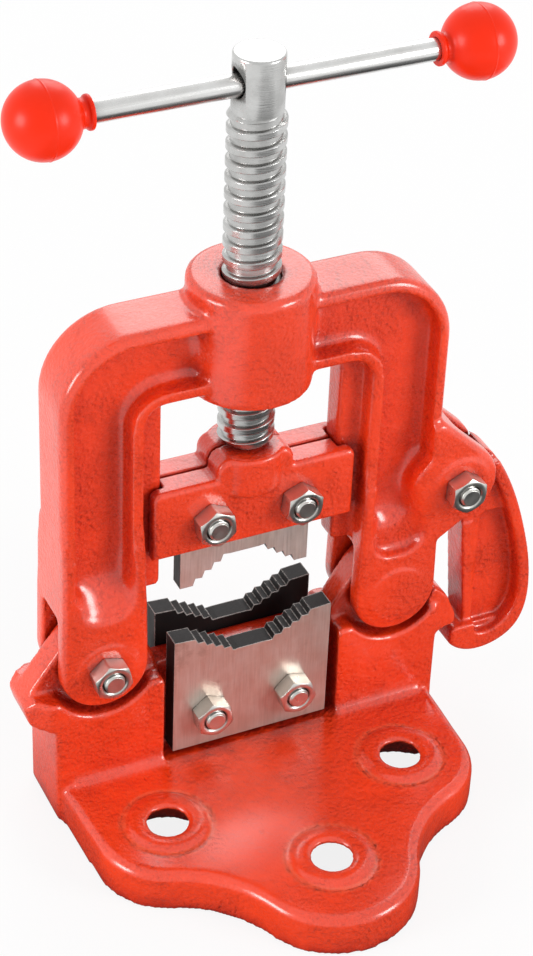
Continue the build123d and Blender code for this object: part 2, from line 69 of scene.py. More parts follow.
class Axis(Enum):
    """Direction of a turned piece, as the three columns (side, side, along)."""

    X = ((0.0, 1.0, 0.0), (0.0, 0.0, 1.0), (1.0, 0.0, 0.0))
    X_BACK = ((0.0, 0.0, 1.0), (0.0, 1.0, 0.0), (-1.0, 0.0, 0.0))
    Y_FRONT = ((1.0, 0.0, 0.0), (0.0, 0.0, 1.0), (0.0, -1.0, 0.0))
    Y_BACK = ((0.0, 0.0, 1.0), (1.0, 0.0, 0.0), (0.0, 1.0, 0.0))
    Z = ((1.0, 0.0, 0.0), (0.0, 1.0, 0.0), (0.0, 0.0, 1.0))


class Slot(Enum):
    """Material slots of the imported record."""

    ENAMEL = "orange_enamel"
    STEEL = "bright_steel"
    PLATE = "hardened_plate"
    ZINC = "zinc_plate"
    KNOB = "red_plastic"


# Meshes


def linked(name: str, data: bpy.types.ID) -> Piece:
    """Make an object of its data and link it to the scene."""
    piece = bpy.data.objects.new(name, data)
    bpy.context.scene.collection.objects.link(piece)
    return piece


def mesh_from_grid(name: str, points: np.ndarray, sharp_angle: float = 32.0) -> Piece:
    """Make a mesh object from a grid of points.

    The faces are quads between neighbouring rows and columns. Points that meet
    at a seam, a pole or an end are merged, so the surface closes.

    Args:
        name: name of the piece.
        points: rows by columns by three, in millimetres.
        sharp_angle: edges that turn more than this, in degrees, stay sharp.

    Returns:
        The object, at the origin.
    """
    rows, columns, _ = points.shape
    index = np.arange(rows * columns).reshape(rows, columns)
    quads = np.stack(
        [index[:-1, :-1], index[:-1, 1:], index[1:, 1:], index[1:, :-1]], axis=-1
    ).reshape(-1, 4)
    mesh = bpy.data.meshes.new(name)
    mesh.from_pydata((points.reshape(-1, 3) * MM).tolist(), [], quads.tolist())
    return finish_mesh(name, mesh, sharp_angle)


def finish_mesh(name: str, mesh: bpy.types.Mesh, sharp_angle: float) -> Piece:
    """Merge doubles, turn the faces outwards, shade smoothly and make the object.

    Args:
        name: name of the piece.
        mesh: mesh to finish, in metres.
        sharp_angle: edges that turn more than this, in degrees, stay sharp.

    Returns:
        The linked object.
    """
    work = bmesh.new()
    work.from_mesh(mesh)
    bmesh.ops.remove_doubles(work, verts=work.verts, dist=WELD)
    bmesh.ops.dissolve_degenerate(work, edges=work.edges, dist=TINY)
    bmesh.ops.recalc_face_normals(work, faces=work.faces)
    work.to_mesh(mesh)
    work.free()
    mesh.shade_smooth()
    mesh.set_sharp_from_angle(angle=math.radians(sharp_angle))
    return linked(name, mesh)


def place(axis: Axis, centre: Point, points: np.ndarray) -> np.ndarray:
    """Carry local points (side, side, along) to a centre and a direction.

    Args:
        axis: direction of the piece.
        centre: place of the local origin, in millimetres.
        points: array whose last axis holds the three local coordinates.

    Returns:
        The points in the frame of the vise.
    """
    return points @ np.array(axis.value) + np.array(centre)


def turned(profile: np.ndarray, columns: int = 96) -> np.ndarray:
    """Turn a profile about the local third axis.

    A point is (r cos a, r sin a, h), with r and h along the profile and a the
    angle round the axis.

    Args:
        profile: rows of (radius, height).
        columns: steps of the angle.

    Returns:
        Grid of local points, rows by columns + 1 by three.
    """
    angle = np.linspace(0.0, FULL_TURN, columns + 1)
    radius, height = profile[:, :1], profile[:, 1:]
    flat = np.zeros_like(angle)
    return np.stack(
        [radius * np.cos(angle), radius * np.sin(angle), height + flat], axis=-1
    )


def rounded_corners(corners: list[Point], steps: int = 5) -> np.ndarray:
    """Round each corner of a profile with a quadratic curve.

    Between two points at the distance s before and after a corner c, the curve
    is (1-t)^2 a + 2t(1-t) c + t^2 b.

    Args:
        corners: (radius, height, rounding) of each corner.
        steps: points on each rounding.

    Returns:
        Rows of (radius, height).
    """
    points = np.array([corner[:2] for corner in corners], float)
    rows = []
    for number, (_, _, rounding) in enumerate(corners):
        here = points[number]
        if rounding == 0 or number in (0, len(corners) - 1):
            rows.append(here[None])
            continue
        before, after = points[number - 1] - here, points[number + 1] - here
        reach = min(rounding, 0.49 * np.linalg.norm(before), 0.49 * np.linalg.norm(after))
        start = here + before / np.linalg.norm(before) * reach
        end = here + after / np.linalg.norm(after) * reach
        t = np.linspace(0.0, 1.0, steps)[:, None]
        rows.append((1 - t) ** 2 * start + 2 * t * (1 - t) * here + t**2 * end)
    return np.vstack(rows)


@dataclass
class ThreadForm:
    """Shape of one turn of a screw thread."""

    pitch: float
    crest: float
    root: float
    crest_share: float = 0.36
    root_share: float = 0.34
    rounding: int = 4

    def radii(self) -> tuple[np.ndarray, np.ndarray]:
        """Work out the radius over one pitch.

        The radius rests on the root, climbs the flank as a half cosine, rests
        on the crest and falls back in the same way.

        Returns:
            Share of the pitch and radius, the first at 0 and none at 1.
        """
        flank = (1.0 - self.crest_share - self.root_share) / 2.0
        step = np.linspace(0.0, 1.0, self.rounding + 1)
        ease = 0.5 - 0.5 * np.cos(math.pi * step)
        climb = self.root + (self.crest - self.root) * ease
        share = np.concatenate([
            self.root_share + flank * step,
            self.root_share + flank + self.crest_share + flank * step,
        ])
        radius = np.concatenate([climb, climb[::-1]])
        last = share[-1] >= 1.0 - 1e-9
        return share[: -1 if last else None], radius[: -1 if last else None]


def threaded(
    form: ThreadForm, start: float, end: float, envelope: np.ndarray, columns: int
) -> np.ndarray:
    """Cut a helical thread between two heights.

    Row s and angle a give the height h = s + pitch * a / 2 pi, held between the
    ends, and the radius of the thread at s, held under the envelope at h. The
    columns a = 0 and a = 2 pi meet one pitch apart, so the seam closes.

    Args:
        form: shape of the thread.
        start: lower end.
        end: upper end.
        envelope: rows of (height, radius) that limit the thread.
        columns: steps of the angle.

    Returns:
        Grid of local points.
    """
    share, radius = form.radii()
    count = int(math.ceil((end - start) / form.pitch)) + 2
    turn = np.arange(-1, count - 1)
    rows = (start + form.pitch * (turn[:, None] + share[None, :])).ravel()
    radii = np.tile(radius, count)
    angle = np.linspace(0.0, FULL_TURN, columns + 1)
    height = np.clip(rows[:, None] + form.pitch * angle / FULL_TURN, start, end)
    limit = np.interp(height, envelope[:, 0], envelope[:, 1])
    reach = np.minimum(radii[:, None], limit)
    return np.stack([reach * np.cos(angle), reach * np.sin(angle), height], axis=-1)


# Node sheets


class Sheet:
    """Short hand for building the nodes of a material or a group."""

    def __init__(self, tree: bpy.types.NodeTree) -> None:
        """Keep the tree to build in."""
        self.tree = tree

    def add(self, kind: str, **inputs: object) -> bpy.types.Node:
        """Add a node and fill its inputs.

        Args:
            kind: Blender's name of the node.
            inputs: values or sockets by input name, with _ for a blank; a name
                that starts with set_ is an attribute of the node.

        Returns:
            The node.
        """
        node = self.tree.nodes.new(kind)
        for name, value in inputs.items():
            if name.startswith("set_"):
                setattr(node, name[4:], value)
        for name, value in inputs.items():
            if not name.startswith("set_"):
                self.fill(node.inputs[name.replace("_", " ")], value)
        return node

    def fill(self, socket: Socket, value: object) -> None:
        """Link a socket to another one, or give it a value."""
        if isinstance(value, bpy.types.NodeSocket):
            self.tree.links.new(value, socket)
        elif isinstance(value, tuple) and len(value) == 3 and socket.type == "RGBA":
            socket.default_value = (*value, 1.0)
        else:
            socket.default_value = value

    def maths(self, operation: str, *values: object, clamp: bool = False) -> Socket:
        """Add a Math node and return its result."""
        node = self.add("ShaderNodeMath", set_operation=operation, set_use_clamp=clamp)
        for socket, value in zip(node.inputs, values):
            self.fill(socket, value)
        return node.outputs[0]

    def blend(self, share: object, low: object, high: object, mode: str = "MIX") -> Socket:
        """Mix two colours and return the result."""
        node = self.add("ShaderNodeMix", set_data_type="RGBA", set_blend_type=mode)
        for number, value in ((0, share), (6, low), (7, high)):
            self.fill(node.inputs[number], value)
        return node.outputs[2]

    def span(
        self, value: object, low: float, high: float, to_low: float, to_high: float
    ) -> Socket:
        """Map a value from one range to another, held at its ends."""
        node = self.add(
            "ShaderNodeMapRange", Value=value, From_Min=low, From_Max=high,
            To_Min=to_low, To_Max=to_high,
        )
        return node.outputs[0]

    def noise(
        self, where: object, scale: object, detail: float = 3.0, rough: float = 0.55
    ) -> Socket:
        """Add a noise texture and return its value."""
        node = self.add(
            "ShaderNodeTexNoise", Vector=where, Scale=scale, Detail=detail, Roughness=rough
        )
        return node.outputs["Fac"]

    def group(self, tree: bpy.types.NodeTree, **inputs: object) -> bpy.types.Node:
        """Place a node group and fill its inputs."""
        node = self.tree.nodes.new("ShaderNodeGroup")
        node.node_tree = tree
        for name, value in inputs.items():
            self.fill(node.inputs[name.replace("_", " ")], value)
        return node


@dataclass(frozen=True)
class GroupSocket:
    """Name, kind and first value of a group's input or output."""

    name: str
    kind: str = "NodeSocketFloat"
    value: object = None


def new_group(name: str, inputs: list[GroupSocket], outputs: list[GroupSocket]) -> tuple[
    Sheet, bpy.types.Node, bpy.types.Node
]:
    """Make an empty node group with its sockets.

    Args:
        name: name of the group.
        inputs: sockets of the group's inputs.
        outputs: sockets of its outputs.

    Returns:
        The sheet, the node with the inputs and the node with the outputs.
    """
    tree = bpy.data.node_groups.new(name, "ShaderNodeTree")
    for way, sockets in (("INPUT", inputs), ("OUTPUT", outputs)):
        for item in sockets:
            socket = tree.interface.new_socket(item.name, in_out=way, socket_type=item.kind)
            if item.value is not None:
                socket.default_value = item.value
    sheet = Sheet(tree)
    return sheet, sheet.add("NodeGroupInput"), sheet.add("NodeGroupOutput")


class Effects:
    """Node groups that several materials share, each made once."""

    def __init__(self) -> None:
        """Build every group."""
        # Edge mask: partly real wear, partly painted highlight on edges.
        self.edge_wear_and_highlight = self.make_edge_wear_and_highlight()
        self.sand_cast = self.make_sand_cast()
        self.machining = self.make_machining()
        # Mask of hollows that darkens colours there: painted shade.
        self.painted_shade = self.make_painted_shade()

    @staticmethod
    def make_edge_wear_and_highlight() -> bpy.types.NodeTree:
        """Mask of outer edges, for edge wear and painted highlight: how far a rounded normal leans
        from the true one.
        """
        sheet, given, result = new_group(
            "edge_wear_and_highlight",
            [GroupSocket("Radius", value=0.001), GroupSocket("Breakup Scale", value=400.0)],
            [GroupSocket("Mask")],
        )
        rounded = sheet.add("ShaderNodeBevel", set_samples=6, Radius=given.outputs["Radius"])
        true = sheet.add("ShaderNodeNewGeometry")
        lean = sheet.add("ShaderNodeVectorMath", set_operation="DOT_PRODUCT")
        sheet.fill(lean.inputs[0], rounded.outputs[0])
        sheet.fill(lean.inputs[1], true.outputs["Normal"])
        turn = sheet.maths("SUBTRACT", 1.0, lean.outputs["Value"])
        where = sheet.add("ShaderNodeTexCoord").outputs["Object"]
        breakup = sheet.noise(where, given.outputs["Breakup Scale"], 4.0, 0.5)
        uneven = sheet.span(breakup, 0.35, 0.65, 0.2, 1.8)
        wear_and_highlight = sheet.maths("MULTIPLY", turn, uneven)
        sheet.fill(result.inputs["Mask"], sheet.maths("MULTIPLY", wear_and_highlight, 5.0, clamp=True))
        return sheet.tree

    @staticmethod
    def make_sand_cast() -> bpy.types.NodeTree:
        """Height of paint over sand casting: broad waves, grains and small pits."""
        sheet, given, result = new_group(
            "sand_cast",
            [GroupSocket("Grain Scale", value=500.0), GroupSocket("Pits", value=0.5)],
            [GroupSocket("Height"), GroupSocket("Mottle")],
        )
        where = sheet.add("ShaderNodeTexCoord").outputs["Object"]
        wave = sheet.noise(where, 55.0, 2.0)
        patch = sheet.noise(where, 28.0, 4.0, 0.6)
        grain = sheet.noise(where, given.outputs["Grain Scale"], 3.0, 0.6)
        cell = sheet.add(
            "ShaderNodeTexVoronoi", Vector=where, Scale=given.outputs["Grain Scale"],
            set_feature="SMOOTH_F1", Smoothness=0.6,
        ).outputs["Distance"]
        rough_area = sheet.span(patch, 0.42, 0.6, 0.35, 1.0)
        sand = sheet.maths("ADD", grain, sheet.maths("MULTIPLY", cell, 0.6))
        grains = sheet.maths("MULTIPLY", sand, rough_area)
        pit = sheet.span(sheet.noise(where, 260.0, 2.0), 0.66, 0.74, 0.0, -1.0)
        pits = sheet.maths("MULTIPLY", pit, given.outputs["Pits"])
        height = sheet.maths("ADD", sheet.maths("MULTIPLY", wave, 1.6), grains)
        sheet.fill(result.inputs["Height"], sheet.maths("ADD", height, pits))
        sheet.fill(result.inputs["Mottle"], patch)
        return sheet.tree

    @staticmethod
    def make_machining() -> bpy.types.NodeTree:
        """Fine tool marks: noise drawn out along one direction by a stretch."""
        sheet, given, result = new_group(
            "machining",
            [
                GroupSocket("Stretch", "NodeSocketVector", (1.0, 1.0, 1.0)),
                GroupSocket("Scale", value=900.0),
            ],
            [GroupSocket("Marks"), GroupSocket("Smudge")],
        )
        where = sheet.add("ShaderNodeTexCoord").outputs["Object"]
        drawn = sheet.add("ShaderNodeVectorMath", set_operation="MULTIPLY")
        sheet.fill(drawn.inputs[0], where)
        sheet.fill(drawn.inputs[1], given.outputs["Stretch"])
        marks = sheet.noise(drawn.outputs[0], given.outputs["Scale"], 4.0, 0.5)
        sheet.fill(result.inputs["Marks"], marks)
        sheet.fill(result.inputs["Smudge"], sheet.noise(where, 90.0, 5.0, 0.62))
        return sheet.tree

    @staticmethod
    def make_painted_shade() -> bpy.types.NodeTree:
        """Mask of hollows for painted shade, where less of the surroundings is in sight."""
        sheet, given, result = new_group(
            "painted_shade",
            [GroupSocket("Reach", value=0.01)],
            [GroupSocket("Mask")],
        )
        hollow = sheet.add(
            "ShaderNodeAmbientOcclusion", set_samples=8, Distance=given.outputs["Reach"]
        )
        dark = sheet.maths("SUBTRACT", 1.0, hollow.outputs["AO"])
        where = sheet.add("ShaderNodeTexCoord").outputs["Object"]
        uneven = sheet.span(sheet.noise(where, 120.0, 4.0), 0.3, 0.7, 0.6, 1.3)
        # The mask darkens a colour where shade falls in hollows: painted shade.
        sheet.fill(result.inputs["Mask"], sheet.maths("MULTIPLY", dark, uneven, clamp=True))
        return sheet.tree


# Finishes


def new_material(name: str) -> tuple[bpy.types.Material, Sheet, bpy.types.Node]:
    """Make a material with a Principled shader.

    Args:
        name: name of the material.

    Returns:
        The material, its sheet and the shader node.
    """
    material = bpy.data.materials.new(name)
    material.use_nodes = True
    material.node_tree.nodes.clear()
    sheet = Sheet(material.node_tree)
    shader = sheet.add("ShaderNodeBsdfPrincipled")
    sheet.add("ShaderNodeOutputMaterial", Surface=shader.outputs[0])
    return material, sheet, shader


def add_relief(
    sheet: Sheet, shader: bpy.types.Node, height: Socket, depth: float, rounding: float
) -> None:
    """Feed the shader a normal with relief over softly rounded edges.

    Args:
        sheet: sheet of the material.
        shader: its Principled shader.
        height: height of the relief, about 0 to 1.
        depth: what a height of 1 means, in metres.
        rounding: radius of the rounded edges, in metres.
    """
    soft = sheet.add("ShaderNodeBevel", set_samples=6, Radius=rounding)
    bump = sheet.add("ShaderNodeBump", Distance=depth, Height=height, Normal=soft.outputs[0])
    sheet.fill(shader.inputs["Normal"], bump.outputs[0])


@dataclass(frozen=True)
class CastEnamel:
    """Orange-red enamel, dipped over rough castings, with painted shade in its hollows and paler
    edges that are partly thin paint and partly painted highlight.
    """

    body: Colour = (0.91, 0.048, 0.004)
    # Darker tone for the random mottle, and the colour of the painted shade in hollows.
    dark_tone_and_shade: Colour = (0.38, 0.010, 0.002)
    # Pale edge colour: partly thin paint, partly painted highlight.
    thin_paint_and_highlight: Colour = (0.95, 0.14, 0.055)
    grain_scale: float = 620.0
    relief: float = 0.0016
    edge_rounding: float = 0.0011
    pits: float = 0.25
    hollow_reach: float = 0.014
    roughness: Pair = (0.34, 0.50)
    specular: float = 0.14
    coat: float = 0.8
    coat_roughness: float = 0.22
    coat_ior: float = 1.8

    def build(self, effects: Effects) -> bpy.types.Material:
        """Make the material.

        Args:
            effects: the shared node groups.

        Returns:
            The material.
        """
        material, sheet, shader = new_material("cast_enamel")
        cast = sheet.group(effects.sand_cast, Grain_Scale=self.grain_scale, Pits=self.pits)
        hollow = sheet.group(effects.painted_shade, Reach=self.hollow_reach).outputs["Mask"]
        edge = sheet.group(effects.edge_wear_and_highlight, Radius=0.0016, Breakup_Scale=350.0).outputs["Mask"]
        mottle = cast.outputs["Mottle"]
        colour = sheet.blend(sheet.span(mottle, 0.35, 0.7, 0.0, 0.16), self.body, self.dark_tone_and_shade)
        # Painted shade: hollows turn towards the dark colour, where shade falls.
        colour = sheet.blend(sheet.span(hollow, 0.18, 0.62, 0.0, 0.95), colour, self.dark_tone_and_shade)
        # Paler edges: partly thin paint over edges, partly painted highlight.
        colour = sheet.blend(sheet.maths("MULTIPLY", edge, 0.42), colour, self.thin_paint_and_highlight)
        sheet.fill(shader.inputs["Base Color"], colour)
        sheet.fill(shader.inputs["Roughness"], sheet.span(mottle, 0.3, 0.7, *self.roughness))
        shader.inputs["Specular IOR Level"].default_value = self.specular
        shader.inputs["Coat Weight"].default_value = self.coat
        shader.inputs["Coat Roughness"].default_value = self.coat_roughness
        shader.inputs["Coat IOR"].default_value = self.coat_ior
        add_relief(sheet, shader, cast.outputs["Height"], self.relief, self.edge_rounding)
        return material


@dataclass(frozen=True)
class BrightSteel:
    """Turned or drawn steel, with fine marks, a few smudges and painted shade in its hollows."""

    name: str
    stretch: Point
    bright: Colour = (0.78, 0.78, 0.77)
    dull: Colour = (0.50, 0.49, 0.47)
    smooth: float = 0.16
    rough: float = 0.36
    relief: float = 0.00004
    edge_rounding: float = 0.0003
    marks_scale: float = 700.0
    painted_crease_shade: Colour = (0.10, 0.09, 0.08)

    def build(self, effects: Effects) -> bpy.types.Material:
        """Make the material.

        Args:
            effects: the shared node groups.

        Returns:
            The material.
        """
        material, sheet, shader = new_material(self.name)
        cut = sheet.group(effects.machining, Stretch=self.stretch, Scale=self.marks_scale)
        hollow = sheet.group(effects.painted_shade, Reach=0.004).outputs["Mask"]
        marks, smudge = cut.outputs["Marks"], cut.outputs["Smudge"]
        colour = sheet.blend(sheet.span(smudge, 0.4, 0.7, 0.0, 0.5), self.bright, self.dull)
        # Painted shade: hollows turn towards the dark crease colour.
        colour = sheet.blend(sheet.maths("MULTIPLY", hollow, 0.8), colour, self.painted_crease_shade)
        sheet.fill(shader.inputs["Base Color"], colour)
        shader.inputs["Metallic"].default_value = 1.0
        wear = sheet.maths(
            "ADD", sheet.maths("MULTIPLY", smudge, 0.6), sheet.maths("MULTIPLY", marks, 0.4)
        )
        roughness = sheet.span(wear, 0.35, 0.65, self.smooth, self.rough)
        sheet.fill(shader.inputs["Roughness"], roughness)
        add_relief(sheet, shader, marks, self.relief, self.edge_rounding)
        return material


class GroundSide(Enum):
    """Broad faces of a jaw plate that are ground."""

    FRONT = -1
    BOTH = 0
    REAR = 1


@dataclass(frozen=True)
class GroundPlate:
    """Hardened jaw plate: ground on its open faces, scaled black elsewhere, with bright edges that
    are partly burrs and partly painted highlight.
    """

    side: GroundSide = GroundSide.BOTH
    ground: Colour = (0.66, 0.60, 0.54)
    warm: Colour = (0.62, 0.50, 0.43)
    stain: Colour = (0.24, 0.21, 0.17)
    scale: Colour = (0.014, 0.012, 0.012)
    burr_and_highlight: Colour = (0.62, 0.59, 0.56)
    metallic: Pair = (0.15, 0.72)
    roughness: Pair = (0.32, 0.46)
    scale_roughness: float = 0.12
    specular: float = 0.2
    relief: float = 0.00005
    edge_rounding: float = 0.0003

    def build(self, effects: Effects) -> bpy.types.Material:
        """Make the material.

        Args:
            effects: the shared node groups.

        Returns:
            The material.
        """
        material, sheet, shader = new_material(f"ground_plate_{self.side.name.lower()}")
        coordinates = sheet.add("ShaderNodeTexCoord")
        facing = sheet.add("ShaderNodeSeparateXYZ", Vector=coordinates.outputs["Normal"])
        out = facing.outputs["Y"]
        if self.side is GroundSide.BOTH:
            out = sheet.maths("ABSOLUTE", out)
        else:
            out = sheet.maths("MULTIPLY", out, float(self.side.value))
        broad = sheet.span(out, 0.6, 0.9, 0.0, 1.0)
        cut = sheet.group(effects.machining, Stretch=(1.0, 1.0, 0.06), Scale=1400.0)
        edge = sheet.group(effects.edge_wear_and_highlight, Radius=0.0007, Breakup_Scale=700.0).outputs["Mask"]
        marks, smudge = cut.outputs["Marks"], cut.outputs["Smudge"]
        face = sheet.blend(sheet.span(smudge, 0.38, 0.62, 0.0, 1.0), self.ground, self.warm)
        face = sheet.blend(sheet.span(marks, 0.3, 0.7, 0.25, 0.0), face, self.stain)
        spots = sheet.noise(coordinates.outputs["Object"], 45.0, 6.0, 0.7)
        face = sheet.blend(sheet.span(spots, 0.58, 0.75, 0.0, 0.7), face, self.stain)
        colour = sheet.blend(broad, self.scale, face)
        # Bright edges: partly real burrs, partly painted highlight.
        colour = sheet.blend(sheet.maths("MULTIPLY", edge, 0.85), colour, self.burr_and_highlight)
        sheet.fill(shader.inputs["Base Color"], colour)
        sheet.fill(shader.inputs["Metallic"], sheet.span(broad, 0.0, 1.0, *self.metallic))
        shader.inputs["Specular IOR Level"].default_value = self.specular
        roughness = sheet.maths(
            "ADD", sheet.span(marks, 0.3, 0.7, *self.roughness),
            sheet.span(broad, 0.0, 1.0, self.scale_roughness, 0.0),
        )
        sheet.fill(shader.inputs["Roughness"], roughness)
        add_relief(sheet, shader, marks, self.relief, self.edge_rounding)
        return material


@dataclass(frozen=True)
class GlossKnob:
    """Gloss moulded plastic."""

    body: Colour = (0.88, 0.024, 0.002)
    shade: Colour = (0.60, 0.012, 0.002)
    roughness: Pair = (0.28, 0.36)
    specular: float = 0.2
    coat: float = 0.05
    coat_roughness: float = 0.2
    relief: float = 0.000015
    edge_rounding: float = 0.0003

    def build(self, effects: Effects) -> bpy.types.Material:
        """Make the material.

        Args:
            effects: the shared node groups.

        Returns:
            The material.
        """
        material, sheet, shader = new_material("gloss_knob")
        cast = sheet.group(effects.sand_cast, Grain_Scale=900.0, Pits=0.0)
        hollow = sheet.group(effects.painted_shade, Reach=0.005).outputs["Mask"]
        # Painted shade: hollows turn towards the darker shade colour.
        sheet.fill(shader.inputs["Base Color"], sheet.blend(hollow, self.body, self.shade))
        roughness = sheet.span(cast.outputs["Mottle"], 0.3, 0.7, *self.roughness)
        sheet.fill(shader.inputs["Roughness"], roughness)
        shader.inputs["Specular IOR Level"].default_value = self.specular
        shader.inputs["Coat Weight"].default_value = self.coat
        shader.inputs["Coat Roughness"].default_value = self.coat_roughness
        add_relief(sheet, shader, cast.outputs["Height"], self.relief, self.edge_rounding)
        return material


# Sub-assemblies


def dress(
    piece: Piece, material: bpy.types.Material, slot: Slot, body: str | None, *nodes: str
) -> None:
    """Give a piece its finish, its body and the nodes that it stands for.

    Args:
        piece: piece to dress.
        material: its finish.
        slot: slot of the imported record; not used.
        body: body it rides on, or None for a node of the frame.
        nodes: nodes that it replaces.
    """
    piece.data.materials.clear()
    piece.data.materials.append(material)
    if body is not None:
        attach(piece, body)
    if nodes:
        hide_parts(*nodes)
    LOG.info("%s: %d faces, %s", piece.name, len(piece.data.polygons), material.name)


@dataclass
class Casting:
    """One rough casting: nodes of the frame, joined and softened as sand leaves them.

    A soft spot is a centre and a radius. The pockets are round and lie under the
    mount holes of the first node. Beyond reach_by_angle, in degrees about Y and
    millimetres from the pivot, points are drawn in.
    """

    name: str
    body: str
    nodes: tuple[str, ...]
    voxel: float = 0.9
    passes: int = 5
    soft_spots: tuple[tuple[Point, float], ...] = ()
    soft_passes: int = 180
    pivot: Pair = (0.0, 0.0)
    reach_by_angle: tuple[Pair, ...] = ()
    pockets: tuple[Point, ...] = ()
    pocket_radius: float = 19.0
    pocket_depth: float = 15.2
    pocket_start: float = -5.0

    def copy_node(self, node: str) -> Piece:
        """Copy a node with its doubles merged and the pockets cut into the first one."""
        work = bmesh.new()
        work.from_mesh(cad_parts[node].data)
        bmesh.ops.remove_doubles(work, verts=work.verts, dist=WELD)
        mesh = bpy.data.meshes.new(node + "_copy")
        work.to_mesh(mesh)
        work.free()
        piece = linked(mesh.name, mesh)
        if node == self.nodes[0]:
            profile = np.array([
                (0.0, self.pocket_start), (self.pocket_radius, self.pocket_start),
                (self.pocket_radius, self.pocket_depth), (0.0, self.pocket_depth),
            ])
            for centre in self.pockets:
                drill(piece, mesh_from_grid("pocket", place(Axis.Z, centre, turned(profile, 64))))
        return piece

    def build(self, enamel: bpy.types.Material) -> None:
        """Join copies of the nodes, remesh them and ease the edges.

        Each pass of smoothing moves a point half way to the mean of its
        neighbours, which rounds the edges by about one voxel. The soft spots
        get many more passes, as where the pattern of the casting was filleted.

        Args:
            enamel: the finish.
        """
        work = bmesh.new()
        for node in self.nodes:
            copy = self.copy_node(node)
            work.from_mesh(copy.data)
            bpy.data.objects.remove(copy)
        mesh = bpy.data.meshes.new(self.name)
        work.to_mesh(mesh)
        work.free()
        rough = linked(self.name, mesh)
        remesh = rough.modifiers.new("sand", "REMESH")
        remesh.mode, remesh.voxel_size, remesh.use_smooth_shade = "VOXEL", self.voxel * MM, True
        settle(rough)
        points = read_points(rough)
        if self.reach_by_angle:
            points = self.within_reach(points)
        if self.soft_spots:
            points = self.softened(points, read_edges(rough))
        rough.data.vertices.foreach_set("co", (points * MM).ravel())
        ease = rough.modifiers.new("ease", "SMOOTH")
        ease.factor, ease.iterations = 0.5, self.passes
        settle(rough)
        rough.data.shade_smooth()
        dress(rough, enamel, Slot.ENAMEL, self.body, *self.nodes)

    def within_reach(self, points: np.ndarray) -> np.ndarray:
        """Pull points in that lie too far from the pivot for their angle about Y."""
        side, up = points[:, 0] - self.pivot[0], points[:, 2] - self.pivot[1]
        most = np.interp(np.degrees(np.arctan2(up, side)), *np.array(self.reach_by_angle).T)
        share = np.minimum(1.0, most / np.maximum(np.hypot(side, up), TINY))
        return np.stack(
            [self.pivot[0] + side * share, points[:, 1], self.pivot[1] + up * share], axis=-1
        )

    def softened(self, points: np.ndarray, edges: np.ndarray) -> np.ndarray:
        """Fillet the soft spots.

        Each pass moves a point by its weight towards the mean of its
        neighbours. At the distance d from a spot of radius r the weight is
        (1 + cos(pi d / r)) / 4.

        Args:
            points: points of the casting, in millimetres.
            edges: pairs of neighbours.

        Returns:
            The moved points.
        """
        weight = np.zeros(len(points))
        for centre, radius in self.soft_spots:
            away = np.minimum(np.linalg.norm(points - np.array(centre), axis=1) / radius, 1.0)
            weight = np.maximum(weight, (1.0 + np.cos(math.pi * away)) / 4.0)
        near = edges[(weight[edges] > 1e-4).any(axis=1)]
        here, there = np.concatenate([near, near[:, ::-1]]).T
        known, here = np.unique(here, return_inverse=True)
        count = np.bincount(here)[:, None]
        for _ in range(self.soft_passes):
            mean = np.stack(
                [np.bincount(here, points[there, axis]) for axis in range(3)], axis=-1
            ) / count
            points[known] += weight[known, None] * (mean - points[known])
        return points


def read_points(piece: Piece) -> np.ndarray:
    """Read the points of a piece, in millimetres."""
    flat = np.empty(len(piece.data.vertices) * 3)
    piece.data.vertices.foreach_get("co", flat)
    return flat.reshape(-1, 3) / MM


def read_edges(piece: Piece) -> np.ndarray:
    """Read the pairs of points that the edges of a piece join."""
    flat = np.empty(len(piece.data.edges) * 2, dtype=np.int64)
    piece.data.edges.foreach_get("vertices", flat)
    return flat.reshape(-1, 2)


def settle(piece: Piece) -> None:
    """Keep what the modifiers of a piece make as its mesh."""
    bpy.context.view_layer.update()
    shown = piece.evaluated_get(bpy.context.evaluated_depsgraph_get())
    mesh = bpy.data.meshes.new_from_object(shown)
    piece.modifiers.clear()
    piece.data = mesh


def drill(piece: Piece, cutter: Piece) -> None:
    """Cut one closed shape out of another and remove the cutter."""
    cut = piece.modifiers.new("cut", "BOOLEAN")
    cut.operation, cut.solver, cut.object = "DIFFERENCE", "EXACT", cutter
    settle(piece)
    bpy.data.objects.remove(cutter)


CASTINGS = (
    Casting(
        "base_cast", "base", ("base_foot", "base_upright"), voxel=1.0,
        pockets=((-46.7, -45.3, 0.0), (46.7, -45.3, 0.0), (0.0, -83.7, 0.0)),
        soft_spots=(((-80.0, 0.0, 52.0), 12.0), ((78.0, 0.0, 56.0), 12.0)), soft_passes=10,
    ),
    Casting(
        "yoke_cast", "yoke", ("yoke",), voxel=1.0, passes=4,
        soft_spots=(
            ((-57.5, -11.0, 100.0), 18.0), ((-57.5, 11.0, 100.0), 18.0),
            ((57.5, -11.0, 100.0), 18.0), ((57.5, 11.0, 100.0), 18.0),
            ((-22.0, -10.0, 188.0), 10.0), ((22.0, -10.0, 188.0), 10.0),
            ((-22.0, 10.0, 188.0), 10.0), ((22.0, 10.0, 188.0), 10.0),
        ),
    ),
    Casting(
        "latch_cast", "latch", ("latch",), voxel=0.6, pivot=(80.5, 109.5),
        reach_by_angle=(
            (-40.0, 90.0), (-10.0, 30.0), (0.0, 20.5), (33.0, 15.0), (55.0, 13.0),
            (70.0, 13.0), (85.0, 60.0),
        ),
    ),
    Casting("block_front_cast", "jaw_block", ("upper_block_front",), voxel=0.6),
    Casting("block_rear_cast", "jaw_block", ("upper_block_rear",), voxel=0.6),
)


